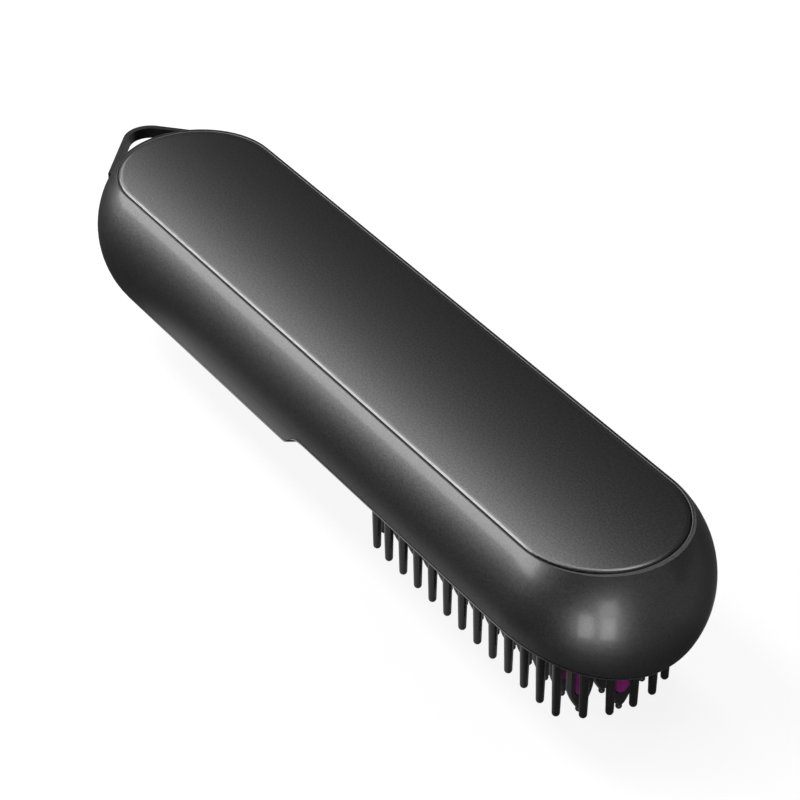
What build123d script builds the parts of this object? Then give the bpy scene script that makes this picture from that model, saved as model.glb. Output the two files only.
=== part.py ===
from build123d import *
import math
import os

os.makedirs("parts", exist_ok=True)

# Cordless hot comb: a round-ended housing with a flat back, a crowned face with heated teeth
# under the head, and a battery handle. Lengths are millimetres. While the pieces are made,
# x runs along the housing towards the head, z = 0 is the axis of its round section and
# x = 0 is the middle between its ball ends.

# Housing
body_radius = 25.0          # round section and the handle's ball end
body_straight = 161.0       # between the centres of the round ends
head_length = 26.0          # the head's end is a little longer than a ball
back_drop = 9.9             # flat back below the top of the round section
wall = 2.0
deck_thickness = 1.8        # floor of the panel's recess
part_gap = 0.25             # shadow line between housing and front cover
fit_gap = 0.15              # between pieces that locate each other
run_gap = 0.3               # between pieces that only lie side by side
seat_gap = 0.1              # between faces that screws draw together
cut_past = 1.0              # a cutter runs this far past what it cuts

# Back panel
panel_thickness = 1.6
panel_rim = 0.15            # of the housing, left outside the groove
groove_width = 0.45
panel_edge = 0.55
panel_post_radius = 1.5
panel_post_length = 2.4
panel_post_inset = 5.0
panel_post_spread = (-66.0, 14.0, 66.0)

# Front cover: crowned face that steps up from the handle to the head
crown_radius = 49.5
head_depth = 11.2           # lowest line of the head's face below the axis
step_middle = -4.4
step_length = 19.0
head_part_rise = 0.7        # the parting surface runs above the face and steps with it
handle_part_rise = 2.6
part_step_middle = -2.2
part_step_length = 13.0
lip_height = 2.4
lip_thickness = 1.0

# Hanging loop at the end of the handle
loop_stand = 4.85           # of its apex beyond the ball end
loop_end_radius = 6.5
loop_strap = 1.4
loop_height = 2.8
loop_drop = 2.4             # below the flat back
loop_web = 1.4              # thickness of the web that the housing's deck holds down
loop_web_width = 9.0
loop_web_back = 1.0         # the web reaches this far behind the screws

# Comb field
comb_middle = 54.4
plate_thickness = 2.0
plate_margin = 2.8
plate_flange = 1.3
plate_flange_thickness = 1.2
pin_side_inset = 9.4        # ring of plain pins inside the round section
pin_end_inset = 4.5
pin_end_centre = 20.25
pin_pitch = 5.73
pin_side_count = 11
pin_tip_depth = 27.3
pin_tip_radius = 0.91
pin_taper = 0.02
pin_root_depth = 7.5
post_radius = 1.6
post_hole = 5.0
post_end_inset = 2.2        # from the edges of the heater plate
post_side_inset = 1.7

# Heated teeth and their guards
row_pitch = 8.5
tooth_pitch = 6.0
middle_teeth = 13
side_teeth = 12
tooth_tip_depth = 31.4
tooth_tip_lift = 1.3        # the side rows end this much higher
tooth_width = 6.2
tooth_thickness = 2.0
tooth_leg = 1.05
tooth_taper_height = 7.0
tooth_bulge = 0.62          # share of its width that a tooth keeps half-way down its taper
tooth_neck_side = 0.6
tooth_neck_height = 1.2
tooth_ball_radius = 0.75
fin_thickness = 2.3
fin_tip_height = 5.5        # lower end of a fin above the tip of its tooth
fin_gap = 0.25
rail_flange = 0.6
rail_flange_thickness = 1.0
rail_end = 1.0

# Heater
heater_length = 80.0
heater_width = 25.0
heater_thickness = 3.0
heater_bottom = 4.8         # below the axis
ptc_length = 56.0
ptc_width = 12.0
ptc_thickness = 2.2
clamp_thickness = 0.6
clamp_foot = 5.0
clamp_screw_length = 3.0
heater_screw_length = 6.0
shield_room = 3.0           # round the heater plate
shield_wall = 1.2
shield_corner = 4.0
shield_top = 6.0
lead_radius = 0.35
fuse_radius = 1.9
fuse_length = 11.0
fuse_lead = 3.0
fuse_place = 10.0           # both sensors sit this far towards the handle
sensor_radius = 1.2
sensor_lead = 8.0
lead_notch = 6.0            # gap in the shield's end wall for the heater's leads
lead_notch_height = 3.6

# Battery pack and boards
cell_radius = 9.2
cell_length = 65.2
cell_spread = 9.5           # cell axes to either side of the middle
cell_gap = 0.2
cell_edge = 0.5
cell_cap_radius = 3.0
cell_cap_height = 0.5
tray_wall = 1.5
rest_radius = 2.0
tray_floor = 1.2
tray_depth = 4.0            # rim of the saddle below the cell axes, end walls as far above
tab_thickness = 0.3
tab_width = 7.0
board_thickness = 1.6
board_length = 62.0
board_width = 26.0
board_screw_inset = 3.0
tray_rest_inset = 2.0
switch_size = 6.0
switch_height = 3.0
switch_plunger = 0.6
board_screw_depth = 4.5
board_screw_length = 4.0
button_place = -34.0
button_radius = 5.0
button_travel = 0.5
button_proud = 0.4
button_height = 3.9         # cap; with the stack above it, this sets the handle's depth
button_edge = 0.6
button_flange_radius = 6.2
button_flange_thickness = 1.0
display_place = -54.0
display_length = 20.0
display_width = 9.0
window_thickness = 1.6
module_gap = 0.6            # between the window and the display behind it
module_inset = 1.0
port_width = 8.94
port_height = 3.16
port_length = 7.35
port_shell = 0.3
port_back = 0.9             # thickness of the receptacle's closed end
port_hole_gap = 0.65
tongue_width = 6.4
tongue_thickness = 0.7
tongue_recess = 0.8
port_place = 0.0
port_recess = 0.8
port_overhang = 4.2
port_board_thickness = 1.2
port_board_width = 17.0
coil_length = 4.0           # choke on the charge board
coil_width = 6.0
coil_height = 1.4
coil_place = 3.0

# Screws; the shares are of their radius
screw_radius = 1.15
screw_length = 9.0
small_screw_radius = 0.8
head_share = 1.9
head_height_share = 1.1
head_edge_share = 0.4
cross_span_share = 2.2
cross_width_share = 0.4
cross_floor_share = 0.5
boss_radius = 2.8
end_boss_inset = 6.3        # from the inside of the ball end
end_boss_angle = 51.1       # either side of the housing's middle, seen from the back
step_boss_place = -3.0
step_boss_side = 13.5

# Derived places
half = body_straight / 2
reach = half + head_length
back_height = body_radius - back_drop
panel_radius = math.sqrt(body_radius**2 - back_height**2) - panel_rim - groove_width
panel_bottom = back_height - panel_thickness
deck_bottom = panel_bottom - deck_thickness
crown_axis = crown_radius - head_depth
inner_radius = body_radius - wall
plate_top_radius = crown_radius - plate_thickness
pin_side = body_radius - pin_side_inset
pin_end_radius = body_radius - pin_end_inset
loop_reach = body_radius + loop_stand
loop_top = back_height - loop_drop
end_boss_reach = inner_radius - end_boss_inset
end_boss = (-half - end_boss_reach * math.cos(math.radians(end_boss_angle)),
            end_boss_reach * math.sin(math.radians(end_boss_angle)))
step_boss = (step_boss_place, step_boss_side)
loop_centre = -half - loop_reach + loop_end_radius
loop_bottom = loop_top - loop_height
loop_tangent = math.sqrt(body_radius**2 - (loop_top - loop_height / 2)**2)
loop_slope = math.asin((loop_tangent - loop_end_radius) / (loop_reach - loop_end_radius))
loop_web_radius = math.sqrt(inner_radius**2 - loop_top**2) - run_gap
flange_radius = plate_top_radius - plate_flange_thickness
rail_radius = flange_radius - seat_gap - rail_flange_thickness
heater_top = heater_thickness - heater_bottom
port_mouth = -math.sqrt(body_radius**2 - port_width**2 / 4) - half + port_recess
cell_height = deck_bottom - run_gap - cell_radius
tray_length = cell_length + 2 * (cell_cap_height + tab_thickness + run_gap + tray_wall)
pack_middle = end_boss[0] + boss_radius + run_gap + tray_length / 2
port_board_start = port_mouth + port_overhang
port_board_length = pack_middle - tray_length / 2 - run_gap - port_board_start
tray_rest = cell_height - cell_radius - cell_gap - tray_floor
board_top = tray_rest - seat_gap
board_bottom = board_top - board_thickness
button_top = board_bottom - switch_height - switch_plunger - button_travel - run_gap
handle_depth = button_height - button_proud - button_top
head_seat = panel_bottom - head_height_share * screw_radius - seat_gap
origin_x = (head_length - loop_reach) / 2
origin_z = -tooth_tip_depth
ROWS = {"left": (row_pitch, side_teeth, tooth_tip_lift),
        "middle": (0.0, middle_teeth, 0.0),
        "right": (-row_pitch, side_teeth, tooth_tip_lift)}


# ---------------------------------------------------------------- shared forms

def capsule(radius):
    """Bar with round ends, on the housing's axis."""
    length = head_length - body_radius + radius
    top = Line((-half, radius), (half, radius))
    head = EllipticalCenterArc((half, 0), length, radius, arc_size=90)
    tail = RadiusArc((-half - radius, 0), (-half, radius), radius)
    base = Line((half + length, 0), (-half - radius, 0))
    return revolve(Plane.XZ * make_face([tail, top, head, base]), Axis.X)


def slab(low, high):
    """Everything between two heights."""
    size = 3 * reach
    return Pos(0, 0, (low + high) / 2) * Box(size, size, high - low)


def stadium(radius):
    """Plan outline of the back: a slot with round ends."""
    return SlotCenterToCenter(body_straight, 2 * radius)


def stepped(handle, head, middle, length, lift=0.0):
    """Round solid about the crown's axis; its lower side steps from handle to head."""
    centre = Plane(origin=(0, 0, crown_axis), x_dir=(1, 0, 0), z_dir=(0, -1, 0))
    left = (middle - length / 2, crown_axis + handle - lift)
    right = (middle + length / 2, crown_axis + head - lift)
    far = 2 * reach
    step = Bezier(left, (middle, left[1]), (middle, right[1]), right)
    line = Polyline(right, (far, right[1]), (far, 0), (-far, 0), (-far, left[1]), left)
    return revolve(centre * make_face([step, line]), Axis((0, 0, crown_axis), (1, 0, 0)))


def face_solid(lift=0.0):
    return stepped(handle_depth, head_depth, step_middle, step_length, lift)


def part_solid(lift=0.0):
    return stepped(handle_depth - handle_part_rise, head_depth - head_part_rise,
                   part_step_middle, part_step_length, lift)


def crown(radius):
    """Round bar about the crown's axis, as long as the comb field and more."""
    return Pos(comb_middle, 0, crown_axis) * Rot(0, -90, 0) * Cylinder(radius, 2 * reach)


def upright(x, y, radius, low, high):
    return Pos(x, y, (low + high) / 2) * Cylinder(radius, high - low)


def block(x, y, length, width, low, high):
    return Pos(x, y, (low + high) / 2) * Box(length, width, high - low)


def prism(face, low, high):
    return Pos(0, 0, low) * extrude(face, high - low)


def mirrored(x, y):
    return [(x, y), (x, -y)]


# ---------------------------------------------------------------- housing

boss_places = mirrored(*end_boss) + mirrored(*step_boss)


def boss_tops():
    """Screw bosses of the cover: those at the handle's end stop under the loop's web."""
    ends = [(place, loop_bottom - seat_gap) for place in mirrored(*end_boss)]
    return ends + [(place, deck_bottom - seat_gap) for place in mirrored(*step_boss)]


def loop_outline(shrink):
    """Teardrop in plan, tangent to the round end of the housing."""
    tangent = loop_tangent - shrink
    round_end = loop_end_radius - shrink
    s, c = math.sin(loop_slope), math.cos(loop_slope)
    top = [(-half - tangent * s, tangent * c), (loop_centre - round_end * s, round_end * c)]
    low = [(x, -y) for x, y in reversed(top)]
    return make_face(Polyline(*top, *low, (-half, 0), top[0])) + Pos(loop_centre, 0) * Circle(round_end)


def loop_strap_plan(grow=0.0):
    """The strap alone, as far as it runs inside the housing's wall."""
    tail = -half - loop_tangent * math.sin(loop_slope) + loop_strap + grow
    ring = loop_outline(-grow) - loop_outline(loop_strap + grow)
    return ring & Pos(tail - reach, 0) * Rectangle(2 * reach, 2 * reach)


def loop_foot_plan(grow=0.0):
    """Tabs from the strap through the wall to the web inside the housing."""
    band = Circle(loop_tangent + grow) - Circle(loop_web_radius - loop_strap)
    middle = -loop_tangent * math.sin(loop_slope)
    return Pos(-half, 0) * (band & Pos(middle, 0) * Rectangle(2 * loop_strap + 2 * grow, 2 * reach))


def hanging_loop():
    strap = prism(loop_strap_plan(), loop_bottom, loop_top)
    feet = prism(loop_foot_plan(), loop_bottom, loop_bottom + loop_web)
    band = Pos(end_boss[0] + half - loop_web_back, 0) * Rectangle(loop_web_width, 2 * reach)
    web_plan = Circle(loop_web_radius) & band
    web = prism(Pos(-half, 0) * web_plan, loop_bottom, loop_bottom + loop_web)
    loop = strap + feet + web
    for x, y in mirrored(*end_boss):
        loop -= upright(x, y, screw_radius + fit_gap, loop_bottom - cut_past, loop_top + cut_past)
    return loop


def main_housing():
    outside = capsule(body_radius) & slab(-reach, back_height)
    recess = prism(stadium(panel_radius + groove_width), panel_bottom, back_height + cut_past)
    room = capsule(inner_radius) & slab(-reach, deck_bottom)
    shell = (outside & part_solid()) - room - recess
    for x, y in boss_places:
        shell -= upright(x, y, screw_radius + fit_gap, deck_bottom - cut_past, back_height)
        shell -= upright(x, y, head_share * screw_radius + fit_gap, head_seat, back_height)
    for x in panel_post_spread:
        for px, py in mirrored(x, panel_radius - panel_post_inset):
            shell -= upright(px, py, panel_post_radius + fit_gap, deck_bottom - cut_past, back_height)
    slot = Plane.YZ * SlotOverall(port_width + 2 * port_hole_gap, port_height + 2 * port_hole_gap)
    shell -= Pos(-half - body_radius - cut_past, 0, port_place) * extrude(slot, 2 * (wall + cut_past))
    shell -= prism(loop_strap_plan(fit_gap), loop_bottom - fit_gap, loop_top + fit_gap)
    shell -= prism(loop_foot_plan(fit_gap), loop_bottom - fit_gap, loop_bottom + loop_web + fit_gap)
    return shell


def back_panel():
    plate = prism(stadium(panel_radius), panel_bottom, back_height)
    plate = fillet(plate.edges().group_by(Axis.Z)[-1], panel_edge)
    for x in panel_post_spread:
        for px, py in mirrored(x, panel_radius - panel_post_inset):
            plate += upright(px, py, panel_post_radius, panel_bottom - panel_post_length, panel_bottom)
    return plate


# ---------------------------------------------------------------- front cover

def comb_outline(grow):
    """Plan of the comb field: straight sides and flat round ends."""
    side = pin_side + grow
    end = pin_end_radius + grow
    lens = Rectangle(2 * pin_end_centre, 2 * end)
    for x in (-pin_end_centre, pin_end_centre):
        lens += Pos(x, 0) * Circle(end)
    return Pos(comb_middle, 0) * (lens & Rectangle(4 * end, 2 * side))


def front_cover():
    outside = (capsule(body_radius) & face_solid()) - part_solid(-part_gap)
    collar = (capsule(inner_radius - fit_gap) & face_solid()) - part_solid(lip_height)
    room = capsule(inner_radius - fit_gap - lip_thickness) & face_solid(wall)
    cover = (outside + collar) - room
    cover -= prism(comb_outline(plate_margin + fit_gap), -reach, 0)
    inside = capsule(inner_radius - fit_gap) & face_solid(wall / 2)
    for (x, y), top in boss_tops():
        cover += upright(x, y, boss_radius, -reach, top) & inside
    for x, y in rest_places():
        cover += upright(x, y, rest_radius, -reach, tray_rest) & inside
    for x, y in port_rest_places():
        low_board = port_place - port_height / 2 - port_board_thickness
        cover += upright(x, y, rest_radius, -reach, low_board) & inside
    cover -= upright(button_place, 0, button_radius + run_gap, -reach, 0)
    cover -= prism(window_plan(fit_gap), -reach, 0)
    for (x, y), top in boss_tops():
        cover -= upright(x, y, screw_radius, head_seat - screw_length, top + cut_past)
    return cover


def rest_places():
    """Posts of the cover under the corners of the battery tray."""
    x = board_length / 2 - tray_rest_inset
    y = board_width / 2 + rest_radius + run_gap
    return [(pack_middle + i * x, j * y) for i in (-1, 1) for j in (-1, 1)]


def port_rest_places():
    return mirrored(port_board_start + port_board_length / 2, port_board_width / 4)


def comb_plate():
    """Crowned plate with three slots for the guards and a ring of plain pins."""
    plate = prism(comb_outline(plate_margin), -reach, 0) & crown(crown_radius)
    flange = prism(comb_outline(plate_margin + plate_flange), -reach, 0) & crown(plate_top_radius - seat_gap)
    plate += flange
    pin = plain_pin()
    for x, y in pin_places():
        plate += Pos(x, y, 0) * pin
    plate -= crown(flange_radius)
    for offset, count, lift in ROWS.values():
        length = (count - 1) * tooth_pitch + tooth_thickness + 2 * rail_end + 2 * fit_gap
        plate -= block(comb_middle, offset, length, tooth_width + 2 * fit_gap, -reach, 0)
    for x, y in post_places():
        plate += upright(x, y, post_radius, -reach, -heater_bottom) & crown(plate_top_radius)
        plate -= upright(x, y, small_screw_radius, -heater_bottom - post_hole, 0)
    return plate


def plain_pin():
    """Tapered pin with a round tip, from its tip up into the plate."""
    top = -pin_root_depth
    root = pin_tip_radius + pin_taper * (pin_tip_depth - pin_root_depth)
    height = pin_tip_depth - pin_tip_radius - pin_root_depth
    outline = Polyline((0, top), (root, top), (pin_tip_radius, top - height))
    tip = RadiusArc((pin_tip_radius, top - height), (0, -pin_tip_depth), pin_tip_radius)
    return revolve(Plane.XZ * make_face([outline, tip, Line((0, -pin_tip_depth), (0, top))]), Axis.Z)


def pin_places():
    """One pin pitch apart round the ring, a pin at the middle of each end."""
    places = [(comb_middle + pin_pitch * (i - (pin_side_count - 1) / 2), pin_side)
              for i in range(pin_side_count)]
    turn = 2 * math.asin(pin_pitch / 2 / pin_end_radius)
    for sign in (-1, 1):
        for i in range(4):
            x = comb_middle + sign * (pin_end_centre + pin_end_radius * math.cos(i * turn))
            places.append((x, pin_end_radius * math.sin(i * turn)))
    return places + [(x, -y) for x, y in places if y > 0]


# ---------------------------------------------------------------- heated teeth

def row_places(count):
    return [comb_middle + tooth_pitch * (i - (count - 1) / 2) for i in range(count)]


def guard_tooth(tip):
    """One guard: a round finger with a tapered ball tip, cut to a flat slice."""
    side = tooth_width / 2
    top = -crown_radius + crown_axis + plate_thickness
    shoulder = tip + tooth_taper_height
    neck = (tooth_neck_side, tip + tooth_neck_height)
    middle = (tooth_bulge * side, (tip + shoulder) / 2)
    outline = [Polyline(neck, (0, neck[1]), (0, top), (side, top), (side, shoulder)),
               ThreePointArc((side, shoulder), middle, neck)]
    finger = revolve(Plane.XZ * make_face(outline), Axis.Z)
    finger += Pos(0, 0, tip + tooth_ball_radius) * Sphere(tooth_ball_radius)
    return finger & block(0, 0, tooth_thickness, tooth_width, tip - cut_past, top)


def fin_outline(tip, grow=0.0):
    """One heated fin across the comb: a strip with a round lower end."""
    side = tooth_width / 2 - tooth_leg - fin_gap + grow
    low = tip + fin_tip_height - grow
    strip = Pos(0, (low + side - heater_bottom) / 2) * Rectangle(2 * side, -heater_bottom - low - side)
    return strip + Pos(0, low + side) * Circle(side)


def across(face, x, y, thickness):
    """A face drawn in y and z, made into a slice of the comb at x."""
    return Pos(x - thickness / 2, y, 0) * extrude(Plane.YZ * face, thickness)


def guard_row(offset, count, lift):
    """A rail that lies in its slot of the comb plate, with one guard for each heated fin."""
    tip = lift - tooth_tip_depth
    length = (count - 1) * tooth_pitch + tooth_thickness + 2 * rail_end
    rail = block(comb_middle, offset, length, tooth_width, -reach, 0) & crown(crown_radius)
    flange = block(comb_middle, offset, length, tooth_width + 2 * rail_flange, -reach, 0)
    row = (rail + (flange & crown(flange_radius - seat_gap))) - crown(rail_radius)
    finger = guard_tooth(tip)
    hole = fin_outline(tip, fin_gap)
    for x in row_places(count):
        row += Pos(x, offset, 0) * finger
    for x in row_places(count):
        row -= across(hole, x, offset, fin_thickness + 2 * fin_gap)
    return row


def heater_plate():
    """Flat plate on the comb plate's posts, with a fin down through each guard."""
    plate = block(comb_middle, 0, heater_length, heater_width, -heater_bottom, heater_top)
    for offset, count, lift in ROWS.values():
        fin = fin_outline(lift - tooth_tip_depth)
        for x in row_places(count):
            plate += across(fin, x, offset, fin_thickness)
    for x, y in post_places():
        plate -= upright(x, y, small_screw_radius + fit_gap, -reach, reach)
    for x, y in clamp_screw_places():
        plate -= upright(x, y, small_screw_radius, heater_top - clamp_screw_length, heater_top)
    return plate


def post_places():
    x = heater_length / 2 - post_end_inset
    y = heater_width / 2 - post_side_inset
    return [(comb_middle + i * x, j * y) for i in (-1, 1) for j in (-1, 1)]


def ptc_heater():
    return block(comb_middle, 0, ptc_length, ptc_width, heater_top, heater_top + ptc_thickness)


def heater_clamp():
    """Spring plate over the ceramic heater; its feet stand on the heater plate."""
    top = heater_top + ptc_thickness
    foot = ptc_length / 2 + run_gap
    cap = block(comb_middle, 0, 2 * foot + 2 * clamp_thickness, ptc_width, top, top + clamp_thickness)
    for sign in (-1, 1):
        x = comb_middle + sign * (foot + clamp_thickness / 2)
        cap += block(x, 0, clamp_thickness, ptc_width, heater_top, top)
        x = comb_middle + sign * (foot + clamp_foot / 2)
        cap += block(x, 0, clamp_foot, ptc_width, heater_top, heater_top + clamp_thickness)
    for x, y in clamp_screw_places():
        cap -= upright(x, y, small_screw_radius + fit_gap, -reach, reach)
    return cap


def clamp_screw_places():
    x = ptc_length / 2 + run_gap + clamp_foot / 2 + clamp_thickness / 2
    return [(comb_middle - x, 0), (comb_middle + x, 0)]


def thermal_fuse():
    y = ptc_width / 2 + fuse_radius + run_gap
    barrel = Rot(0, 90, 0) * Cylinder(fuse_radius, fuse_length)
    leads = Rot(0, 90, 0) * Cylinder(lead_radius, fuse_length + 2 * fuse_lead)
    return Pos(comb_middle - fuse_place, y, heater_top + fuse_radius) * (barrel + leads)


def temperature_sensor():
    y = -ptc_width / 2 - sensor_radius - run_gap
    bead = Sphere(sensor_radius)
    leads = Rot(0, 90, 0) * Pos(0, 0, -sensor_lead / 2) * Cylinder(lead_radius, sensor_lead)
    return Pos(comb_middle - fuse_place, y, heater_top + sensor_radius) * (bead + leads)


def heat_shield():
    """Upturned tray over the heater; its rim follows the comb plate."""
    length = heater_length + 2 * shield_room
    width = heater_width + 2 * shield_room
    outer = Pos(comb_middle, 0) * RectangleRounded(length, width, shield_corner)
    inner = Pos(comb_middle, 0) * RectangleRounded(length - 2 * shield_wall, width - 2 * shield_wall,
                                                  shield_corner - shield_wall)
    tray = prism(outer, -reach, shield_top) - prism(inner, -reach, shield_top - shield_wall)
    tray &= crown(flange_radius - fit_gap)
    return tray - block(comb_middle - length / 2, 0, 4 * shield_wall, lead_notch, -reach, lead_notch_height)


# ---------------------------------------------------------------- battery pack and boards

def battery_cell(side):
    can = Rot(0, 90, 0) * Cylinder(cell_radius, cell_length)
    can = chamfer(can.edges(), cell_edge)
    cap = Rot(0, 90, 0) * Cylinder(cell_cap_radius, cell_length + 2 * cell_cap_height)
    return Pos(pack_middle, side * cell_spread, cell_height) * (can + cap)


def battery_tabs():
    """Nickel straps across the two cells, one at each end."""
    x = cell_length / 2 + cell_cap_height + tab_thickness / 2
    strap = Box(tab_thickness, 2 * cell_spread + tab_width, tab_width)
    return [Pos(pack_middle + sign * x, 0, cell_height) * strap for sign in (-1, 1)]


def battery_tray():
    """Saddle under both cells, with a wall at each end."""
    width = 2 * (cell_spread + cell_radius)
    tray = block(pack_middle, 0, tray_length, width, tray_rest, cell_height - tray_depth)
    for sign in (-1, 1):
        x = pack_middle + sign * (tray_length - tray_wall) / 2
        tray += block(x, 0, tray_wall, width, tray_rest, cell_height + tray_depth)
    for side in (-1, 1):
        bed = Rot(0, 90, 0) * Cylinder(cell_radius + cell_gap, tray_length - 2 * tray_wall)
        tray -= Pos(pack_middle, side * cell_spread, cell_height) * bed
    tray &= capsule(inner_radius - run_gap)
    for x, y in board_screw_places():
        tray -= upright(x, y, small_screw_radius, tray_rest - cut_past, tray_rest + board_screw_depth)
    return tray


def board_screw_places():
    x = board_length / 2 - board_screw_inset
    return [(pack_middle + sign * x, 0) for sign in (-1, 1)]


def main_board():
    """Control board under the tray, with its larger components on the lower side."""
    choke = (-16, -6, 7, 7, 3.0)
    controller = (2, 8, 5, 4, 1.2)
    heater_driver = (10, -7, 9, 6, 1.5)
    connector = (24, -7, 6, 6, 2.8)
    board = block(pack_middle, 0, board_length, board_width, board_bottom, board_top)
    for x, y, length, width, height in (choke, controller, heater_driver, connector):
        board += block(pack_middle + x, y, length, width, board_bottom - height, board_bottom)
    for x, y in board_screw_places():
        board -= upright(x, y, small_screw_radius + fit_gap, -reach, reach)
    return board


def power_switch():
    top = board_bottom - switch_height
    case = block(button_place, 0, switch_size, switch_size, top, board_bottom)
    return case + upright(button_place, 0, switch_size / 4, top - switch_plunger, top)


def power_button():
    """Cap that stands a little proud of the face; a flange keeps it inside the cover."""
    low = -handle_depth - button_proud
    cap = upright(button_place, 0, button_radius, low, button_top)
    cap = fillet(cap.edges().group_by(Axis.Z)[0], button_edge)
    seat = wall - handle_depth + crown_sag(button_flange_radius) + run_gap
    return cap + upright(button_place, 0, button_flange_radius, seat, seat + button_flange_thickness)


def crown_sag(y):
    """Height of the handle's face above its lowest line, y away from the middle."""
    radius = crown_axis + handle_depth - wall
    return radius - math.sqrt(radius**2 - y**2)


def window_plan(grow=0.0):
    size = RectangleRounded(display_length + 2 * grow, display_width + 2 * grow, 2 + grow)
    return Pos(display_place, 0) * size


def display_window():
    """Clear pane flush with the handle's face, with a step behind the cover."""
    pane = prism(window_plan(), -reach, 0) & face_solid(seat_gap)
    return pane - face_solid(window_thickness)


def display_module():
    length = display_length - 2 * module_inset
    width = display_width - module_inset
    return block(display_place, 0, length, width, window_thickness - handle_depth + module_gap, board_bottom)


def charge_port():
    """Receptacle shell with its tongue, open towards the end of the handle."""
    body = Plane.YZ * SlotOverall(port_width, port_height)
    room = Plane.YZ * SlotOverall(port_width - 2 * port_shell, port_height - 2 * port_shell)
    shell = Pos(port_mouth, 0, port_place) * extrude(body, port_length)
    shell -= Pos(port_mouth - cut_past, 0, port_place) * extrude(room, cut_past + port_length - port_back)
    middle = port_mouth + (port_length + tongue_recess) / 2
    tongue = Pos(middle, 0, port_place) * Box(port_length - tongue_recess, tongue_width, tongue_thickness)
    return shell + tongue


def charge_board():
    top = port_place - port_height / 2
    x = port_board_start + port_board_length / 2
    board = block(x, 0, port_board_length, port_board_width, top - port_board_thickness, top)
    return board + block(x + coil_place, 0, coil_length, coil_width, top, top + coil_height)


def screws(places, seat, radius, length):
    """Pan-head screws with a cross recess, each its own solid."""
    made = []
    for x, y in places:
        head = upright(x, y, head_share * radius, seat, seat + head_height_share * radius)
        head = fillet(head.edges().group_by(Axis.Z)[-1], head_edge_share * radius)
        span = cross_span_share * radius
        width = cross_width_share * radius
        floor = seat + cross_floor_share * radius
        cross = block(x, y, span, width, floor, reach) + block(x, y, width, span, floor, reach)
        made.append(head + upright(x, y, radius, seat - length, seat) - cross)
    return made


def build_all():
    nodes = {}
    nodes["main_housing"] = main_housing()
    nodes["back_panel"] = back_panel()
    nodes["hanging_loop"] = hanging_loop()
    nodes["front_cover"] = front_cover()
    nodes["comb_plate"] = comb_plate()
    for side, row in ROWS.items():
        nodes["tooth_guard_" + side] = guard_row(*row)
    nodes["heater_plate"] = heater_plate()
    nodes["ptc_heater"] = ptc_heater()
    nodes["heater_clamp"] = heater_clamp()
    nodes["thermal_fuse"] = thermal_fuse()
    nodes["temperature_sensor"] = temperature_sensor()
    nodes["heat_shield"] = heat_shield()
    nodes["battery_cell_left"] = battery_cell(1)
    nodes["battery_cell_right"] = battery_cell(-1)
    nodes["battery_tabs"] = battery_tabs()
    nodes["battery_tray"] = battery_tray()
    nodes["main_board"] = main_board()
    nodes["power_switch"] = power_switch()
    nodes["power_button"] = power_button()
    nodes["display_module"] = display_module()
    nodes["display_window"] = display_window()
    nodes["charge_port"] = charge_port()
    nodes["charge_board"] = charge_board()
    nodes["cover_screws"] = screws(boss_places, head_seat, screw_radius, screw_length)
    nodes["heater_screws"] = screws(post_places(), heater_top, small_screw_radius, heater_screw_length)
    nodes["clamp_screws"] = screws(clamp_screw_places(), heater_top + clamp_thickness,
                                   small_screw_radius, clamp_screw_length)
    nodes["board_screws"] = board_screws()
    return nodes


def board_screws():
    """Screws from below the board into the tray."""
    upside = screws(board_screw_places(), 0, small_screw_radius, board_screw_length)
    return [Pos(0, 0, board_bottom) * Rot(180, 0, 0) * one for one in upside]


for name, shape in build_all().items():
    pieces = shape if isinstance(shape, list) else [shape]
    placed = Compound([Pos(-origin_x, 0, -origin_z) * one for one in pieces])
    export_step(placed, "parts/" + name + ".step")
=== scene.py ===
from math import radians

import bpy
from bpy.props import FloatProperty, FloatVectorProperty, IntProperty, PointerProperty
from mathutils import Matrix, Vector


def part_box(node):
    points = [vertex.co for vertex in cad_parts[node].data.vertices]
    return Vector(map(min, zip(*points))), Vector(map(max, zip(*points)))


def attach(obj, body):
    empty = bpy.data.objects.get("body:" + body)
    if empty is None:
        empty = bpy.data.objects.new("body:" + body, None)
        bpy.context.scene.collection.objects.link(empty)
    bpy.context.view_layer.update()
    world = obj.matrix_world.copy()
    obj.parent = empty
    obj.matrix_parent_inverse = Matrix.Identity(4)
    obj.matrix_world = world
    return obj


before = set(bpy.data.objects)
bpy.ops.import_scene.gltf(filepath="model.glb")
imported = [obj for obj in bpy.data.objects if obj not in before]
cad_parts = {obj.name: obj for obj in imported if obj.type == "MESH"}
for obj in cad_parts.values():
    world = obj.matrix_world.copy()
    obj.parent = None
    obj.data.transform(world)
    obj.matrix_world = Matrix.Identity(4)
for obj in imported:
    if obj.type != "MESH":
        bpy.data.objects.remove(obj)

bl_info = {
    "name": "Cordless Hot Comb",
    "version": (1, 0, 0),
    "blender": (4, 5, 0),
    "location": "View3D > Sidebar > Hot Comb",
    "description": "Finishes, small fittings and studio of a cordless hot comb",
    "category": "Object",
}

# Corners of the nodes that the fittings and patterns follow.
port_low, port_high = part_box("charge_port")
module_low, module_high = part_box("display_module")
panel_low, panel_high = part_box("back_panel")
cell_low, cell_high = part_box("battery_cell_left")
button_low, button_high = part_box("power_button")

WHITE = (1.0, 1.0, 1.0, 1.0)
SMOOTH_ANGLE = radians(40)


# ---------------------------------------------------------------- sizes and colours

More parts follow.
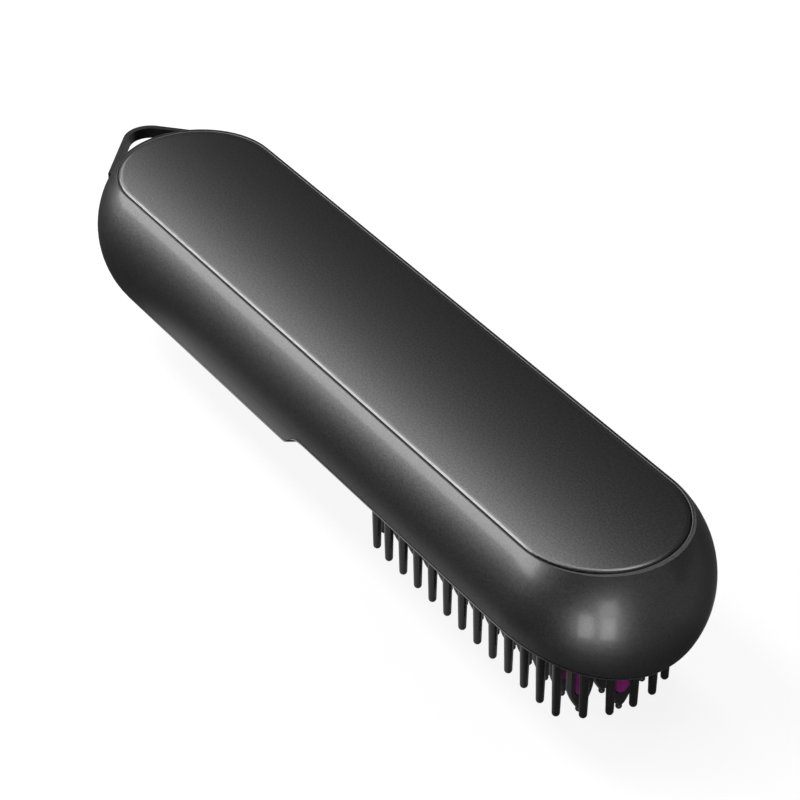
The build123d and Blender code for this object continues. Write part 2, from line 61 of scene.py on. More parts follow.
class FinishSettings(bpy.types.PropertyGroup):
    """Colours and gloss of the pieces that show."""
    paint: FloatVectorProperty(
        name="Paint", description="Dark metallic paint of the housing",
        default=(0.075, 0.075, 0.075), size=3, subtype="COLOR", min=0, max=1)
    paint_roughness: FloatProperty(
        name="Paint roughness", description="Spread of the housing's highlight",
        default=0.42, min=0, max=1, subtype="FACTOR")
    panel: FloatVectorProperty(
        name="Panel", description="Metallic grain of the back panel",
        default=(0.080, 0.080, 0.080), size=3, subtype="COLOR", min=0, max=1)
    panel_roughness: FloatProperty(
        name="Panel roughness", description="Spread of the back panel's highlight",
        default=0.30, min=0, max=1, subtype="FACTOR")
    panel_crown: FloatProperty(
        name="Panel crown", description="Radius of the back panel's faint crown",
        default=0.2, min=0.05, max=5, unit="LENGTH")
    # Width of the rolled edge, which also carries a painted highlight in lighter metal.
    panel_edge: FloatProperty(
        name="Panel edge", description="Width of the back panel's polished edge",
        default=0.0014, min=0.0001, max=0.003, unit="LENGTH")
    # Painted highlight: lighter metal on the back panel's rolled edge.
    panel_edge_highlight: FloatVectorProperty(
        name="Panel polish", description="Metal of the back panel's polished edge",
        default=(0.16, 0.16, 0.16), size=3, subtype="COLOR", min=0, max=1)
    flake: FloatProperty(
        name="Flake", description="Size of the flakes in the paint",
        default=0.00025, min=0.00005, max=0.01, unit="LENGTH")
    black: FloatVectorProperty(
        name="Black", description="Moulded black of the cover, the pins and the guards",
        default=(0.010, 0.010, 0.010), size=3, subtype="COLOR", min=0, max=1)
    gloss_roughness: FloatProperty(
        name="Gloss roughness", description="Polish of the front cover",
        default=0.16, min=0, max=1, subtype="FACTOR")
    pin_roughness: FloatProperty(
        name="Pin roughness", description="Polish of the comb's pins",
        default=0.07, min=0, max=1, subtype="FACTOR")
    satin_roughness: FloatProperty(
        name="Satin roughness", description="Polish of the guards and the power button",
        default=0.34, min=0, max=1, subtype="FACTOR")
    fin: FloatVectorProperty(
        name="Fin", description="Ceramic coating of the heated fins",
        default=(0.20, 0.008, 0.14), size=3, subtype="COLOR", min=0, max=1)


class FittingSettings(bpy.types.PropertyGroup):
    """Sizes of the small fittings that are added to the frame."""
    contact_count: IntProperty(
        name="Contacts", description="Contacts on each side of the receptacle's tongue",
        default=12, min=2, max=24)
    contact_pitch: FloatProperty(
        name="Contact pitch", description="Distance between two contacts",
        default=0.0005, min=0.0002, max=0.002, unit="LENGTH")
    contact_width: FloatProperty(
        name="Contact width", description="Width of one contact",
        default=0.00026, min=0.0001, max=0.001, unit="LENGTH")
    contact_length: FloatProperty(
        name="Contact length", description="Length of one contact",
        default=0.0036, min=0.001, max=0.006, unit="LENGTH")
    digit_count: IntProperty(
        name="Digits", description="Digits of the temperature display",
        default=3, min=1, max=4)
    digit_height: FloatProperty(
        name="Digit height", description="Height of one digit",
        default=0.0046, min=0.002, max=0.007, unit="LENGTH")
    digit_pitch: FloatProperty(
        name="Digit pitch", description="Distance between two digits",
        default=0.0046, min=0.002, max=0.008, unit="LENGTH")
    segment_width: FloatProperty(
        name="Segment width", description="Width of one bar of a digit",
        default=0.0005, min=0.0002, max=0.001, unit="LENGTH")
    groove_width: FloatProperty(
        name="Groove width", description="Width of the groove round the back panel",
        default=0.00045, min=0.0001, max=0.001, unit="LENGTH")
    seal_radius: FloatProperty(
        name="Seal radius", description="Radius of the seal bead in the groove",
        default=0.00023, min=0.0001, max=0.0005, unit="LENGTH")
    seal_depth: FloatProperty(
        name="Seal depth", description="Depth of the seal below the back panel's face",
        default=0.00022, min=0, max=0.001, unit="LENGTH")
    seal_segments: IntProperty(
        name="Seal segments", description="Segments round the seal's two round ends",
        default=126, min=14, max=398)


class StageSettings(bpy.types.PropertyGroup):
    """Camera, lamps, room and floor."""
    lens: FloatProperty(
        name="Lens", description="Focal length of the camera, in millimetres",
        default=135.591, min=10, max=500)
    sensor: FloatProperty(
        name="Sensor", description="Width of the camera's sensor, in millimetres",
        default=36.0, min=10, max=60)
    eye: FloatVectorProperty(
        name="Eye", description="Place of the camera",
        default=(0.464261, -0.307056, 0.434267), size=3, subtype="XYZ", unit="LENGTH")
    right: FloatVectorProperty(
        name="Right", description="Direction of the view's right side",
        default=(0.560297, 0.828290, -0.001744), size=3, subtype="DIRECTION")
    back: FloatVectorProperty(
        name="Back", description="Direction from the object to the camera",
        default=(0.668224, -0.450774, 0.591844), size=3, subtype="DIRECTION")
    side_power: FloatProperty(
        name="Side strip", description="Power of the long strip beside the comb",
        default=7.1, min=0, max=100, unit="POWER")
    top_power: FloatProperty(
        name="Top strip", description="Power of the long strip over the comb",
        default=2.95, min=0, max=100, unit="POWER")
    edge_power: FloatProperty(
        name="Edge strip", description="Power of the narrow strip that lights the back panel's edge",
        default=6.2, min=0, max=100, unit="POWER")
    head_power: FloatProperty(
        name="Head lamps", description="Power of each of the two small lamps before the head",
        default=0.012, min=0, max=1, unit="POWER")
    front_power: FloatProperty(
        name="Front panel", description="Power of the soft panel in front of the head",
        default=1.5, min=0, max=100, unit="POWER")
    back_power: FloatProperty(
        name="Back fill", description="Power of the large dim panel behind the comb",
        default=0.15, min=0, max=100, unit="POWER")
    fill_power: FloatProperty(
        name="Front fill", description="Power of the large dim panel in front of the head",
        default=0.8, min=0, max=100, unit="POWER")
    room_level: FloatProperty(
        name="Room", description="Light of the room on the object",
        default=0.3, min=0, max=2)
    room_gloss: FloatProperty(
        name="Room gloss", description="Brightness of the room in glossy surfaces",
        default=0.12, min=0, max=1, subtype="FACTOR")
    floor_gloss: FloatProperty(
        name="Floor gloss", description="Brightness of the floor in glossy surfaces",
        default=0.09, min=0, max=1, subtype="FACTOR")
    floor_glow: FloatProperty(
        name="Floor glow", description="Brightness of the floor close beside the comb in glossy surfaces",
        default=0.9, min=0, max=1, subtype="FACTOR")
    floor_behind: FloatProperty(
        name="Floor behind", description="What the floor behind the comb adds in glossy surfaces",
        default=0.12, min=0, max=1, subtype="FACTOR")
    floor_ahead: FloatProperty(
        name="Floor ahead", description="What the floor ahead of the head adds in glossy surfaces",
        default=0.21, min=0, max=1, subtype="FACTOR")
    glow_size: FloatVectorProperty(
        name="Glow size", description="Half length and half width of the floor's glow at its full brightness",
        default=(0.07, 0.027), size=2, unit="LENGTH")
    floor_color: FloatVectorProperty(
        name="Floor", description="Colour of the floor",
        default=(0.86, 0.86, 0.86), size=3, subtype="COLOR", min=0, max=1)
    floor_white: FloatProperty(
        name="Floor white", description="Share of plain white in the floor, as the camera sees it",
        default=0.86, min=0, max=1, subtype="FACTOR")
    floor_size: FloatProperty(
        name="Floor size", description="Length of each side of the floor",
        default=12.0, min=1, max=100, unit="LENGTH")
    floor_gap: FloatProperty(
        name="Floor gap", description="Gap between the floor and the tips of the pins",
        default=0.0003, min=0, max=0.01, unit="LENGTH")


# ---------------------------------------------------------------- shader maths

class Amount:
    """A number that varies over a surface. An expression on it adds Math nodes to its tree."""

    def __init__(self, nodes, socket):
        self.nodes = nodes
        self.socket = socket

    def __add__(self, other):
        return self.nodes.maths("ADD", self, other)

    def __sub__(self, other):
        return self.nodes.maths("SUBTRACT", self, other)

    def __rsub__(self, other):
        return self.nodes.maths("SUBTRACT", other, self)

    def __mul__(self, other):
        return self.nodes.maths("MULTIPLY", self, other)

    def __abs__(self):
        return self.nodes.maths("ABSOLUTE", self)

    __radd__ = __add__
    __rmul__ = __mul__

    def rise(self, low, high, start=0.0, end=1.0):
        """Smooth step from start to end as the number goes from low to high."""
        settings = {"interpolation_type": "SMOOTHSTEP"}
        levels = {"Value": self, "From Min": low, "From Max": high, "To Min": start, "To Max": end}
        return self.nodes.node("ShaderNodeMapRange", settings, levels)


class Nodes:
    """A node tree that is written as expressions."""

    def __init__(self, tree):
        self.tree = tree

    def feed(self, socket, value):
        """Links an amount to a socket, or sets the socket to a plain value."""
        if isinstance(value, Amount):
            self.tree.links.new(value.socket, socket)
        else:
            socket.default_value = value

    def node(self, kind, settings=None, inputs=None, out=0):
        """Adds a node with its settings and inputs, and gives one of its outputs."""
        made = self.tree.nodes.new(kind)
        for key, value in (settings or {}).items():
            setattr(made, key, value)
        for key, value in (inputs or {}).items():
            self.feed(made.inputs[key], value)
        return Amount(self, made.outputs[out])

    def maths(self, operation, *terms):
        """Adds a Math node on amounts or plain numbers."""
        return self.node("ShaderNodeMath", {"operation": operation}, dict(enumerate(terms)))

    def distance(self, x, y):
        """Distance from the middle of two coordinates."""
        return self.maths("SQRT", x * x + y * y)

    def ray(self, kind):
        """1 for rays of this kind, else 0."""
        return self.node("ShaderNodeLightPath", out=f"Is {kind} Ray")


class Finish(Nodes):
    """One procedural material: a Principled shader and the nodes that vary it. Sizes are in metres."""

    def __init__(self, name, **levels):
        self.material = bpy.data.materials.new(name)
        self.material.use_nodes = True
        super().__init__(self.material.node_tree)
        self.shader = self.tree.nodes["Principled BSDF"]
        self.place = self.node("ShaderNodeTexCoord", out="Object")
        self.set(**levels)

    def set(self, **levels):
        """Values or links of the shader's sockets, as Base_Color=... or Roughness=..."""
        for key, value in levels.items():
            self.feed(self.shader.inputs[key.replace("_", " ")], value)

    def stretched(self, scale):
        """Object coordinates, stretched."""
        return self.node("ShaderNodeMapping", {}, {"Vector": self.place, "Scale": scale})

    def noise(self, size, detail=3.0, roughness=0.5, place=None):
        """Cloudy variation with features of about this size."""
        inputs = {"Vector": place or self.place, "Scale": 1 / size, "Detail": detail, "Roughness": roughness}
        return self.node("ShaderNodeTexNoise", {}, inputs)

    def cells(self, size, out, feature="F1"):
        """Random cells of about this size: their Color, or the Distance to their middle or edge."""
        inputs = {"Vector": self.place, "Scale": 1 / size}
        return self.node("ShaderNodeTexVoronoi", {"feature": feature}, inputs, out)

    def axis(self, name, vector=None):
        """One coordinate of the place, or of another vector or colour."""
        return self.node("ShaderNodeSeparateXYZ", {}, {0: vector or self.place}, name)

    def blend(self, factor, first, second):
        """Colour between two colours."""
        first, second = (c if isinstance(c, Amount) else (*c, 1.0) for c in (first, second))
        return self.node("ShaderNodeMix", {"data_type": "RGBA"}, {0: factor, 6: first, 7: second}, 2)

    def bump(self, height, depth, under=None):
        """Normal of a relief of this depth, on top of another one where that is given."""
        inputs = {"Height": height, "Distance": depth, "Strength": 1.0}
        if under is not None:
            inputs["Normal"] = under
        return self.node("ShaderNodeBump", {}, inputs)

    def colour(self, factor, first, second):
        """Sets the base colour, between two colours."""
        self.set(Base_Color=self.blend(factor, first, second))

    def polish(self, roughness, *patterns):
        """Sets the roughness: its middle, and the patterns that vary it, each with its share."""
        varied = roughness - sum(share for pattern, share in patterns) / 2
        for pattern, share in patterns:
            varied = pattern * share + varied
        self.set(Roughness=varied)

    def relief(self, height, depth, under=None):
        """Sets the normal, by a bump."""
        self.set(Normal=self.bump(height, depth, under))


def shade(color, factor):
    """The same hue, lighter or darker."""
    return tuple(min(1.0, channel * factor) for channel in color)


# ---------------------------------------------------------------- finishes

def dark_metal(name):
    """Dark metal with a low reflection at a grazing view."""
    return Finish(name, Metallic=0.97, IOR=1.3, Specular_Tint=(0.45, 0.45, 0.45, 1.0))


def housing_paint(settings):
    """Dark metallic paint: fine flakes, a faint orange peel and a little dust."""
    flake_share = 0.55
    paint = dark_metal("housing_paint")
    paint.set(Coat_Weight=0.22, Coat_Roughness=0.12)
    flakes = paint.axis("X", paint.cells(settings.flake, "Color"))
    coarse = paint.noise(settings.flake * 2.5)
    grain = flakes * flake_share + coarse * (1 - flake_share)
    dust = paint.noise(0.02)
    orange_peel = paint.noise(0.0012, detail=2)
    paint.colour(grain.rise(0.2, 0.8), shade(settings.paint, 0.88), shade(settings.paint, 1.12))
    paint.polish(settings.paint_roughness, (grain, 0.07), (dust, 0.04))
    paint.relief(orange_peel + grain * 0.5, 0.000004)
    return paint


def panel_finish(settings):
    """Back panel: fine grain, a rolled edge painted in lighter metal as a highlight that fades towards the
    head, and a faint crown.
    """
    size = panel_high - panel_low
    radius = size.y / 2
    edge_start = radius - settings.panel_edge
    roll_depth = 0.3 * settings.panel_edge
    highlight_fade_start = panel_high.x - radius * 1.3
    highlight_fade_end = panel_high.x - radius * 0.6
    highlight_fade_share = 0.8

    panel = dark_metal("panel_metal")
    across = panel.axis("Y")
    along = abs(panel.axis("X") - (panel_low.x + panel_high.x) / 2)
    beyond = panel.maths("MAXIMUM", along - (size.x / 2 - radius), 0.0)
    out = panel.distance(beyond, across)
    # Painted highlight: the rolled edge takes the lighter metal, faded towards the head by the next line's
    # mask; the edge also loses the grain's bump.
    edge = out.rise(edge_start, edge_start + settings.panel_edge / 2)
    dull = panel.axis("X").rise(highlight_fade_start, highlight_fade_end, 0.0, highlight_fade_share)
    grain = panel.noise(settings.flake * 2.0, roughness=0.6)
    metal = panel.blend(grain.rise(0.3, 0.7), shade(settings.panel, 0.79), shade(settings.panel, 1.21))
    panel.colour(edge * (1 - dull), metal, settings.panel_edge_highlight)
    panel.polish(settings.panel_roughness, (grain, 0.06))

    crown = across * across * (-1 / (2 * settings.panel_crown))
    rolled = panel.maths("MAXIMUM", out - edge_start, 0.0)
    roll = rolled * rolled * (roll_depth / settings.panel_edge ** 2)
    shape = panel.bump(crown - roll, 1.0)
    panel.relief(grain * (1 - edge), 0.000006, under=shape)
    return panel


def moulded(name, color, roughness, texture=0.0006, depth=0.000003, ior=1.45):
    """Moulded plastic: fine texture of the tool, and handling marks in its polish."""
    plastic = Finish(name, IOR=ior)
    marks = plastic.noise(0.012, detail=4)
    fine = plastic.noise(texture)
    plastic.colour(marks, shade(color, 0.85), shade(color, 1.2))
    plastic.polish(roughness, (marks, 0.08), (fine, 0.04))
    plastic.relief(fine, depth)
    return plastic


def fin_coating(settings):
    """Sprayed ceramic coating of the heated fins."""
    coat = Finish("fin_coating", Metallic=0.35, IOR=1.5)
    speckle = coat.noise(0.00035)
    cloud = coat.noise(0.006)
    tone = speckle * 0.5 + cloud * 0.5
    coat.colour(tone.rise(0.3, 0.7), shade(settings.fin, 0.75), shade(settings.fin, 1.35))
    coat.polish(0.375, (speckle, 0.15))
    coat.relief(speckle, 0.000015)
    return coat


def plated_steel():
    """Plated steel: fine drawing lines along it, and dull spots."""
    steel = Finish("plated_steel", Metallic=1.0)
    lines = steel.noise(0.0006, roughness=0.6, place=steel.stretched((0.08, 1.0, 1.0)))
    spots = steel.noise(0.003)
    steel.colour(spots, (0.52, 0.52, 0.53), (0.68, 0.68, 0.69))
    steel.polish(0.29, (lines, 0.18), (spots, 0.08))
    steel.relief(lines, 0.000005)
    return steel


def heater_core():
    """Ceramic heater in its wound amber film."""
    film_width = 0.006
    core = Finish("heater_core", IOR=1.5, Coat_Roughness=0.12)
    lap = core.maths("FRACT", core.axis("X") * (1 / film_width)).rise(0.0, 0.12)
    cloud = core.noise(0.004)
    core.colour(cloud, (0.42, 0.20, 0.05), (0.55, 0.30, 0.09))
    core.set(Coat_Weight=lap * 0.5)
    core.polish(0.31, (cloud, 0.12))
    core.relief(lap + cloud * 0.3, 0.00003)
    return core


def cell_sleeve():
    """Shrink sleeve of the battery cells, with bare ends."""
    end = (cell_high.x - cell_low.x) / 2
    sleeve_end, bare_start = end - 0.0012, end - 0.0009
    sleeve = Finish("cell_sleeve", IOR=1.5)
    along = abs(sleeve.axis("X") - (cell_low.x + cell_high.x) / 2)
    bare = along.rise(sleeve_end, bare_start)
    wrinkle = sleeve.noise(0.004, detail=4, roughness=0.6, place=sleeve.stretched((0.3, 1.0, 1.0)))
    blue = sleeve.blend(wrinkle, (0.03, 0.16, 0.28), (0.05, 0.22, 0.36))
    sleeve.colour(bare, blue, (0.6, 0.6, 0.61))
    sleeve.set(Metallic=bare)
    sleeve.polish(0.325, (wrinkle, 0.15))
    sleeve.relief(wrinkle, 0.00004)
    return sleeve


def circuit_board():
    """Solder mask over tracks, with tinned pads."""
    board = Finish("circuit_board", IOR=1.5)
    streets = board.cells(0.0022, "Distance", "DISTANCE_TO_EDGE").rise(0.05, 0.09)
    mask = board.cells(0.0031, "Distance").rise(0.16, 0.2)
    green = board.blend(streets, (0.012, 0.12, 0.045), (0.006, 0.075, 0.028))
    board.colour(mask, (0.62, 0.60, 0.56), green)
    board.set(Metallic=1 - mask)
    board.polish(0.31, (mask, 0.12), (board.noise(0.002), 0.1))
    board.relief(streets + mask, 0.00003)
    return board


def smoked_window():
    """Smoked clear pane of the display."""
    window = Finish("smoked_window", IOR=1.49, Transmission_Weight=0.9)
    haze = window.noise(0.003)
    window.colour(haze, (0.16, 0.16, 0.17), (0.20, 0.20, 0.21))
    window.polish(0.04, (haze, 0.04))
    return window


def button_cap(settings):
    """Satin cap with fine turned rings on its face."""
    ring_rate = 15000.0  # radians of the rings' wave in each metre
    cap = moulded("button_cap", shade(settings.black, 1.8), settings.satin_roughness)
    x = cap.axis("X") - (button_low.x + button_high.x) / 2
    y = cap.axis("Y") - (button_low.y + button_high.y) / 2
    rings = cap.maths("SINE", cap.distance(x, y) * ring_rate)
    cap.relief(rings + cap.noise(0.0005, detail=2), 0.000005)
    return cap


def gold_plate():
    """Thin gold on the contacts, slightly worn."""
    gold = Finish("gold_plate", Metallic=1.0)
    wear = gold.noise(0.0008)
    gold.colour(wear, (0.80, 0.56, 0.22), (0.90, 0.68, 0.32))
    gold.polish(0.225, (wear, 0.15))
    return gold


def segment_print():
    """Pale unlit bars of the display."""
    bar = Finish("segment_print", IOR=1.45)
    cloud = bar.noise(0.0006)
    bar.colour(cloud, (0.50, 0.50, 0.48), (0.62, 0.62, 0.60))
    bar.polish(0.55, (cloud, 0.1))
    return bar


# ---------------------------------------------------------------- helpers

def clothe(mesh, finish):
    """Gives a mesh one finish, in place of what it had."""
    mesh.materials.clear()
    mesh.materials.append(finish.material)


def dress(finish, *names):
    """Gives a finish to these CAD nodes."""
    for name in names:
        clothe(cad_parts[name].data, finish)


def start_alone():
    """Object mode, with nothing selected."""
    if bpy.context.mode != "OBJECT":
        bpy.ops.object.mode_set(mode="OBJECT")
    bpy.ops.object.select_all(action="DESELECT")


def bevelled_bar(length, width, height):
    """A small bar at the origin, its edges bevelled by a quarter of its height."""
    start_alone()
    bpy.ops.mesh.primitive_cube_add(size=1)
    bar = bpy.context.object
    bar.scale = (length, width, height)
    bpy.ops.object.transform_apply(location=False, rotation=False, scale=True)
    bpy.ops.object.mode_set(mode="EDIT")
    bpy.ops.mesh.select_all(action="SELECT")
    bpy.ops.mesh.bevel(offset=height / 4, segments=2, affect="EDGES")
    bpy.ops.object.mode_set(mode="OBJECT")
    return bar


def patterned(master, places):
    """Copies of a master at each place and turn, joined into one piece."""
    copies = []
    for x, y, z, turn in places:
        copy = master.copy()
        copy.data = master.data.copy()
        bpy.context.collection.objects.link(copy)
        copy.matrix_world = Matrix.Translation((x, y, z)) @ Matrix.Rotation(turn, 4, "Z")
        copies.append(copy)
    start_alone()
    bpy.data.objects.remove(master)
    for copy in copies:
        copy.select_set(True)
    bpy.context.view_layer.objects.active = copies[0]
    bpy.ops.object.join()
    return copies[0]


def fitted(piece, name, finish):
    """Names, dresses and mounts a new piece, which is selected alone and rides on the comb."""
    bpy.ops.object.transform_apply(location=True, rotation=True, scale=True)
    piece.name = name
    piece.data.name = name
    clothe(piece.data, finish)
    bpy.ops.object.shade_smooth_by_angle(angle=SMOOTH_ANGLE)
    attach(piece, "comb")


def steps(count, pitch):
    """Evenly spaced places on both sides of zero."""
    return [(i - (count - 1) / 2) * pitch for i in range(count)]


# ---------------------------------------------------------------- pieces

class DressHousing(bpy.types.Operator):
    """Metallic paint of the housing and the grain of its back panel."""
    bl_idname = "hot_comb.housing"
    bl_label = "Housing and Back Panel"

    def execute(self, context):
        settings = context.scene.hot_comb_finish
        dress(housing_paint(settings), "main_housing")
        dress(panel_finish(settings), "back_panel")
        return {"FINISHED"}


class DressCover(bpy.types.Operator):
    """Gloss of the front cover and comb plate, satin of the hanging loop."""
    bl_idname = "hot_comb.cover"
    bl_label = "Cover and Loop"

    def execute(self, context):
        settings = context.scene.hot_comb_finish
        deep_black = shade(settings.black, 0.6)
        loop = moulded("loop_satin", deep_black, 0.25, texture=0.0005, depth=0.000004)
        dress(moulded("black_gloss", settings.black, settings.gloss_roughness), "front_cover")
        dress(moulded("pin_gloss", deep_black, settings.pin_roughness, ior=1.38), "comb_plate")
        dress(loop, "hanging_loop")
        return {"FINISHED"}


class DressTeeth(bpy.types.Operator):
    """Satin guards and the coated fins between them."""
    bl_idname = "hot_comb.teeth"
    bl_label = "Teeth"

    def execute(self, context):
        settings = context.scene.hot_comb_finish
        guard = moulded("guard_satin", settings.black, settings.satin_roughness)
        dress(guard, "tooth_guard_left", "tooth_guard_middle", "tooth_guard_right")
        dress(fin_coating(settings), "heater_plate")
        return {"FINISHED"}


class DressHeater(bpy.types.Operator):
    """Heater, its sensor and its shield."""
    bl_idname = "hot_comb.heater"
    bl_label = "Heater"

    def execute(self, context):
        epoxy = moulded("sensor_epoxy", (0.22, 0.09, 0.03), 0.3, texture=0.0004, depth=0.00001)
        shield = moulded("shield_plastic", (0.20, 0.185, 0.165), 0.55, texture=0.0005, depth=0.00001)
        dress(heater_core(), "ptc_heater")
        dress(epoxy, "temperature_sensor")
        dress(shield, "heat_shield")
        return {"FINISHED"}


class DressMetalParts(bpy.types.Operator):
    """Clamp, fuse, straps, receptacle shell and all screws."""
    bl_idname = "hot_comb.metal_parts"
    bl_label = "Metal Parts"

    def execute(self, context):
        dress(plated_steel(), "heater_clamp", "thermal_fuse", "battery_tabs", "charge_port",
              "cover_screws", "heater_screws", "clamp_screws", "board_screws")
        return {"FINISHED"}


class DressPack(bpy.types.Operator):
    """Battery cells and their tray, the boards, the display module and the switch."""
    bl_idname = "hot_comb.pack"
    bl_label = "Battery and Boards"

    def execute(self, context):
        inner = moulded("inner_plastic", (0.075, 0.075, 0.08), 0.5, texture=0.0007, depth=0.000008)
        dress(cell_sleeve(), "battery_cell_left", "battery_cell_right")
        dress(circuit_board(), "main_board", "charge_board")
        dress(inner, "battery_tray", "display_module")
        dress(moulded("switch_plastic", (0.045, 0.045, 0.046), 0.45), "power_switch")
        return {"FINISHED"}


class DressControls(bpy.types.Operator):
    """Power button and display window."""
    bl_idname = "hot_comb.controls"
    bl_label = "Button and Window"

    def execute(self, context):
        dress(button_cap(context.scene.hot_comb_finish), "power_button")
        dress(smoked_window(), "display_window")
        return {"FINISHED"}


class AddPanelSeal(bpy.types.Operator):
    """Soft seal bead in the groove round the back panel."""
    bl_idname = "hot_comb.panel_seal"
    bl_label = "Panel Seal"

    def execute(self, context):
        fittings = context.scene.hot_comb_fittings
        size = panel_high - panel_low
        reach = (size.x - size.y) / 2
        start_alone()
        bpy.ops.mesh.primitive_torus_add(
            major_radius=(size.y + fittings.groove_width) / 2, minor_radius=fittings.seal_radius,
            major_segments=fittings.seal_segments, minor_segments=16)
        seal = bpy.context.object
        # The ring's two halves move apart, so that only the straight sides grow. A new ring is
        # selected all over, and vertices picked in object mode are the selection in edit mode.
        for way in (-1, 1):
            bpy.ops.object.mode_set(mode="EDIT")
            bpy.ops.mesh.select_all(action="DESELECT")
            bpy.ops.object.mode_set(mode="OBJECT")
            for vertex in seal.data.vertices:
                vertex.select = vertex.co.x * way > 0
            bpy.ops.object.mode_set(mode="EDIT")
            bpy.ops.transform.translate(value=(way * reach, 0, 0))
            bpy.ops.object.mode_set(mode="OBJECT")
        level = panel_high.z - fittings.seal_depth - fittings.seal_radius
        seal.location = ((panel_low.x + panel_high.x) / 2, 0, level)
        rubber = moulded("seal_rubber", (0.05, 0.05, 0.05), 0.45, texture=0.0003)
        fitted(seal, "panel_seal", rubber)
        return {"FINISHED"}


class AddPortContacts(bpy.types.Operator):
    """Gold contacts on both sides of the charging receptacle's tongue."""
    bl_idname = "hot_comb.port_contacts"
    bl_label = "Port Contacts"

    def execute(self, context):
        fittings = context.scene.hot_comb_fittings
        tongue_thickness = 0.0007
        height = 0.00008
        stand = 0.00002
        setback = 0.001
        middle = (port_low + port_high) / 2
        start = port_low.x + setback + fittings.contact_length / 2
        level = tongue_thickness / 2 + stand - height / 2
        places = [(start, middle.y + across, middle.z + side * level, 0)
                  for across in steps(fittings.contact_count, fittings.contact_pitch) for side in (-1, 1)]
        master = bevelled_bar(fittings.contact_length, fittings.contact_width, height)
        fitted(patterned(master, places), "port_contacts", gold_plate())
        return {"FINISHED"}


class AddDisplayDigits(bpy.types.Operator):
    """Unlit bars of the temperature display, behind its window."""
    bl_idname = "hot_comb.display_digits"
    bl_label = "Display Digits"

    def execute(self, context):
        fittings = context.scene.hot_comb_fittings
        thickness = 0.0001
        sunk = 0.00002
        gap = fittings.segment_width * 0.35
        middle = (module_low + module_high) / 2
        level = module_low.z - thickness / 2 + sunk
        reach = fittings.digit_height / 4
        upright = radians(90)
        places = []
        for across in steps(fittings.digit_count, fittings.digit_pitch):
            x = middle.x + across
            places += [(x, middle.y + y, level, 0) for y in (-2 * reach, 0, 2 * reach)]
            places += [(x + side * reach, middle.y + y, level, upright)
                       for y in (-reach, reach) for side in (-1, 1)]
        master = bevelled_bar(fittings.digit_height / 2 - gap, fittings.segment_width, thickness)
        fitted(patterned(master, places), "display_segments", segment_print())
        return {"FINISHED"}


# ---------------------------------------------------------------- stage

# Each lamp: its name, its power setting, its place, what it looks at, its long and short side.
LAMPS = (
    ("side_strip", "side_power", (-0.64, -0.482, 0.234), (-0.64, 0, 0.031), (1.22, 0.23)),
    ("top_strip", "top_power", (-0.45, 0.148, 0.52), (-0.45, 0, 0.0465), (1.3, 0.10)),
    ("edge_strip", "edge_power", (-0.64, -0.171, 0.516), (-0.64, 0, 0.0465), (1.22, 0.12)),
    ("head_lamp_left", "head_power", (0.1416, -0.0642, 0.0209), (0.1014, -0.0152, 0.037), (0.0165, 0.033)),
    ("head_lamp_right", "head_power", (0.1579, -0.0433, 0.0197), (0.1014, -0.0152, 0.037), (0.0165, 0.033)),
    ("front_panel", "front_power", (0.95, -0.49, 0.14), (0, 0, 0.031), (0.3, 0.25)),
    ("back_fill", "back_power", (-0.1, 0.9, 0.16), (0, 0, 0.031), (1.6, 0.26)),
    ("front_fill", "fill_power", (1.0, 0.1, 0.36), (0.1, 0, 0.031), (1.4, 0.6)),
)


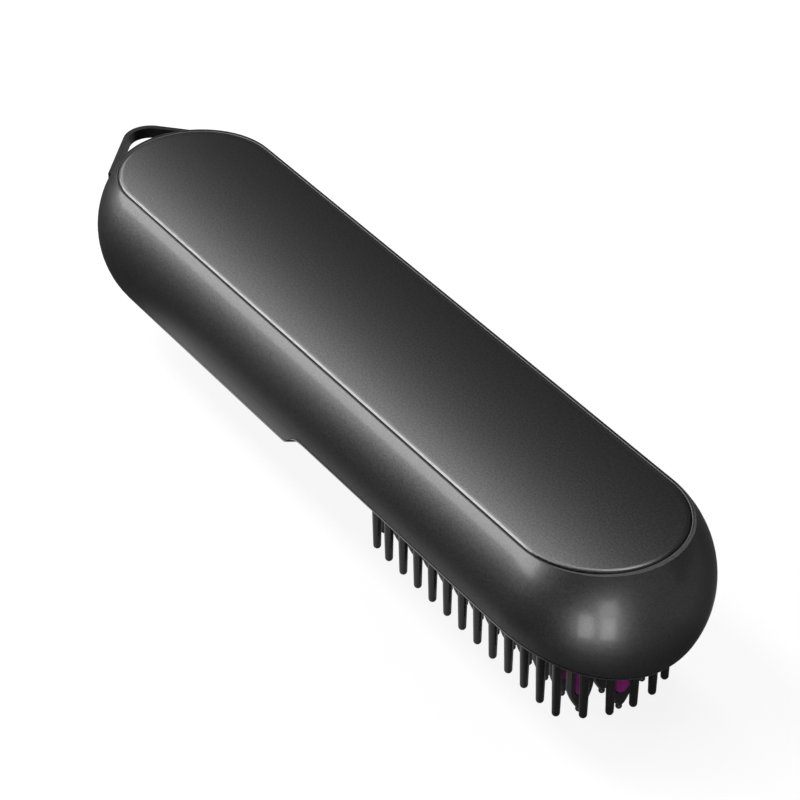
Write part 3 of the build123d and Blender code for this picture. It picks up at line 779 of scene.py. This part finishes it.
class SetStage(bpy.types.Operator):
    """Pale floor that is clear from below, soft lamps, room and camera."""
    bl_idname = "hot_comb.stage"
    bl_label = "Studio"

    def execute(self, context):
        stage = context.scene.hot_comb_stage
        self.floor(stage)
        self.room(context.scene, stage)
        self.lamps(stage)
        self.camera(context.scene, stage)
        context.scene.view_settings.view_transform = "Standard"
        return {"FINISHED"}

    def floor(self, stage):
        """Floor with a soft shadow for the camera and its own brightness in glossy surfaces."""
        start_alone()
        bpy.ops.mesh.primitive_plane_add(size=stage.floor_size, location=(0, 0, -stage.floor_gap))
        floor = bpy.context.object
        floor.name = "floor"
        paper = Finish("floor_paper", Roughness=0.9)
        paper.colour(paper.noise(0.3), shade(stage.floor_color, 0.98), stage.floor_color)
        glossy = paper.ray("Glossy")
        glowing = (paper.ray("Camera") + paper.ray("Transmission")) * stage.floor_white + glossy
        level = self.floor_level(paper, stage)
        white = paper.node("ShaderNodeEmission", {}, {"Color": WHITE, "Strength": glossy * (level - 1) + 1})
        diffuse = Amount(paper, paper.shader.outputs[0])
        above = paper.node("ShaderNodeMixShader", {}, {0: glowing, 1: diffuse, 2: white})
        clear = paper.node("ShaderNodeBsdfTransparent")
        below = paper.node("ShaderNodeNewGeometry", out="Backfacing")
        sheet = paper.node("ShaderNodeMixShader", {}, {0: below, 1: above, 2: clear})
        paper.feed(paper.tree.nodes["Material Output"].inputs["Surface"], sheet)
        floor.data.materials.append(paper.material)

    def floor_level(self, paper, stage):
        """Brightness of the floor in glossy surfaces, a painted reflection: dim, with a painted glow on both
        sides of the comb, a painted shadow where the comb stands, and a little more painted light ahead of
        the head and behind the comb."""
        reach, width = stage.glow_size
        faded = reach * 1.4
        x, y = paper.axis("X"), paper.axis("Y")
        # Painted light seen only in glossy surfaces: a glow beside the comb, and more ahead of the head and
        # behind the comb.
        along = abs(x).rise(reach, faded, 1.0, 0.0)
        aside = abs(y).rise(width, width * 2.4, 1.0, 0.0)
        # Painted shadow: the glow dims where the comb stands.
        contact = abs(y).rise(width * 0.5, width * 0.9, 0.3, 1.0)
        glow = along * aside * contact * (stage.floor_glow - stage.floor_gloss)
        ahead = x.rise(faded, reach * 2.6, 0.0, stage.floor_ahead)
        behind = y.rise(width, width * 2.0, 0.0, stage.floor_behind)
        return glow + ahead + behind + stage.floor_gloss

    def room(self, scene, stage):
        """White room for the camera, dimmer on the object and in glossy surfaces."""
        scene.world = scene.world or bpy.data.worlds.new("room")
        scene.world.use_nodes = True
        tree = scene.world.node_tree
        tree.nodes.clear()
        room = Nodes(tree)
        seen = room.ray("Camera") + room.ray("Transmission")
        gloss = room.ray("Glossy") * (stage.room_gloss - stage.room_level)
        level = seen * (1 - stage.room_level) + gloss + stage.room_level
        sky = room.node("ShaderNodeBackground", {}, {"Color": WHITE, "Strength": level})
        room.feed(tree.nodes.new("ShaderNodeOutputWorld").inputs["Surface"], sky)

    def lamps(self, stage):
        """Soft rectangular lamps; the long side of each lies level."""
        for name, power, place, target, size in LAMPS:
            data = bpy.data.lights.new(name, "AREA")
            data.shape = "RECTANGLE"
            data.size, data.size_y = size
            data.energy = getattr(stage, power)
            lamp = bpy.data.objects.new(name, data)
            lamp.location = place
            lamp.rotation_euler = (Vector(target) - Vector(place)).to_track_quat("-Z", "Y").to_euler()
            lamp.visible_camera = False
            bpy.context.collection.objects.link(lamp)

    def camera(self, scene, stage):
        """Camera at its place, turned by its right and back directions."""
        data = bpy.data.cameras.new("camera")
        data.lens = stage.lens
        data.sensor_width = stage.sensor
        data.clip_start = 0.01
        camera = bpy.data.objects.new("camera", data)
        scene.collection.objects.link(camera)
        back = Vector(stage.back).normalized()
        right = Vector(stage.right).normalized()
        turn = Matrix((right, back.cross(right), back)).transposed().to_4x4()
        camera.matrix_world = Matrix.Translation(stage.eye) @ turn
        scene.camera = camera


# ---------------------------------------------------------------- add-on

PIECES = (DressHousing, DressCover, DressTeeth, DressHeater, DressMetalParts, DressPack, DressControls,
          AddPanelSeal, AddPortContacts, AddDisplayDigits, SetStage)
GROUPS = {
    "hot_comb_finish": FinishSettings,
    "hot_comb_fittings": FittingSettings,
    "hot_comb_stage": StageSettings,
}


class HotCombPanel(bpy.types.Panel):
    """Pieces, finishes and studio of the hot comb."""
    bl_idname = "VIEW3D_PT_hot_comb"
    bl_label = "Hot Comb"
    bl_space_type = "VIEW_3D"
    bl_region_type = "UI"
    bl_category = "Hot Comb"

    def draw(self, context):
        for piece in PIECES:
            self.layout.operator(piece.bl_idname)
        for group, settings_class in GROUPS.items():
            column = self.layout.column()
            for name in settings_class.__annotations__:
                column.prop(getattr(context.scene, group), name)


def register():
    for made in (*GROUPS.values(), *PIECES, HotCombPanel):
        bpy.utils.register_class(made)
    for name, group in GROUPS.items():
        setattr(bpy.types.Scene, name, PointerProperty(type=group))


def unregister():
    for name in GROUPS:
        delattr(bpy.types.Scene, name)
    for made in reversed((*GROUPS.values(), *PIECES, HotCombPanel)):
        bpy.utils.unregister_class(made)


def main():
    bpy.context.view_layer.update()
    register()
    bpy.ops.hot_comb.housing()
    bpy.ops.hot_comb.cover()
    bpy.ops.hot_comb.teeth()
    bpy.ops.hot_comb.heater()
    bpy.ops.hot_comb.metal_parts()
    bpy.ops.hot_comb.pack()
    bpy.ops.hot_comb.controls()
    bpy.ops.hot_comb.panel_seal()
    bpy.ops.hot_comb.port_contacts()
    bpy.ops.hot_comb.display_digits()
    bpy.ops.hot_comb.stage()


if __name__ == "__main__":
    main()
